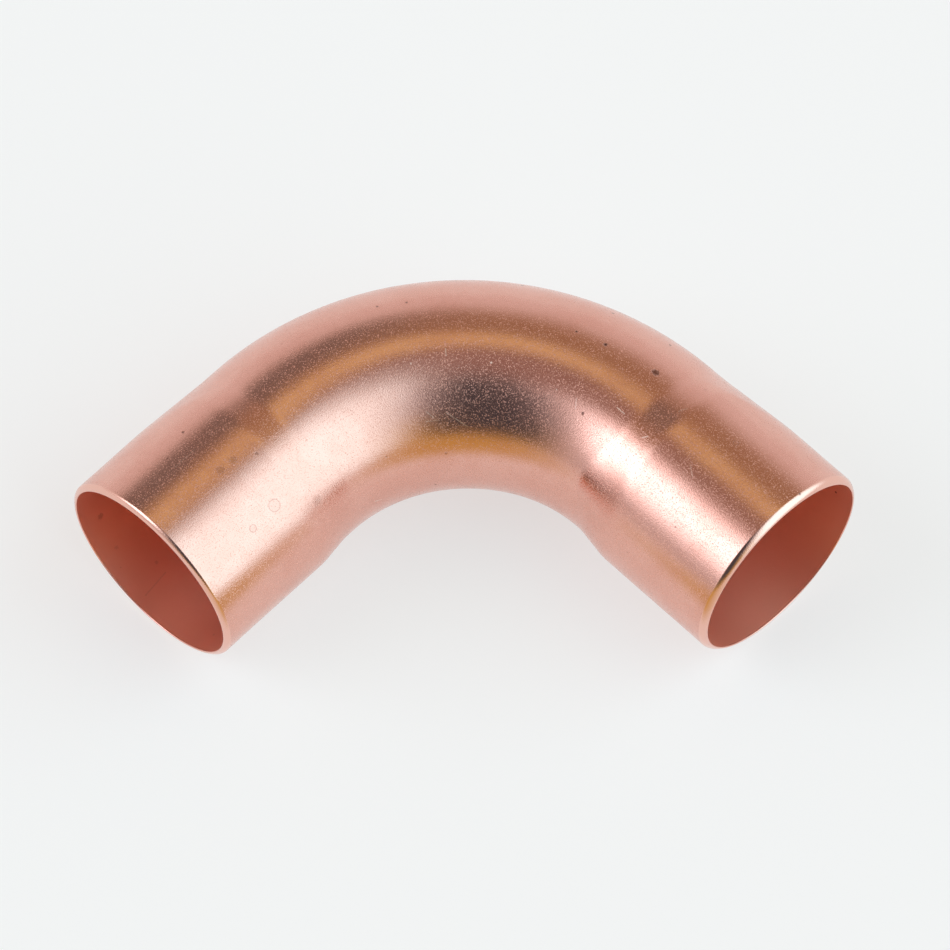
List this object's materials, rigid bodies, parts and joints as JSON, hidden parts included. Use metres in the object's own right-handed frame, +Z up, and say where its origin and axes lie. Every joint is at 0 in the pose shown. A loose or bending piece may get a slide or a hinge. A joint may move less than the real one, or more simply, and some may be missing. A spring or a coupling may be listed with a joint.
{
  "type": "long radius elbow",
  "caption": "Copper tube elbow with a long radius right-angle bend, in one piece, with a solder cup for the tube at each end.",
  "frame": {"origin": "on the surface that the elbow lies on, under the middle of its outline", "axes": "+Z up, square to the plane of the bend; socket A opens towards -Y and socket B towards +X"},
  "size_m": [0.111, 0.111, 0.044],
  "materials": {
    "copper": "satin"
  },
  "bodies": {
    "root": {"elbow": "copper"}
  },
  "joints": []
}
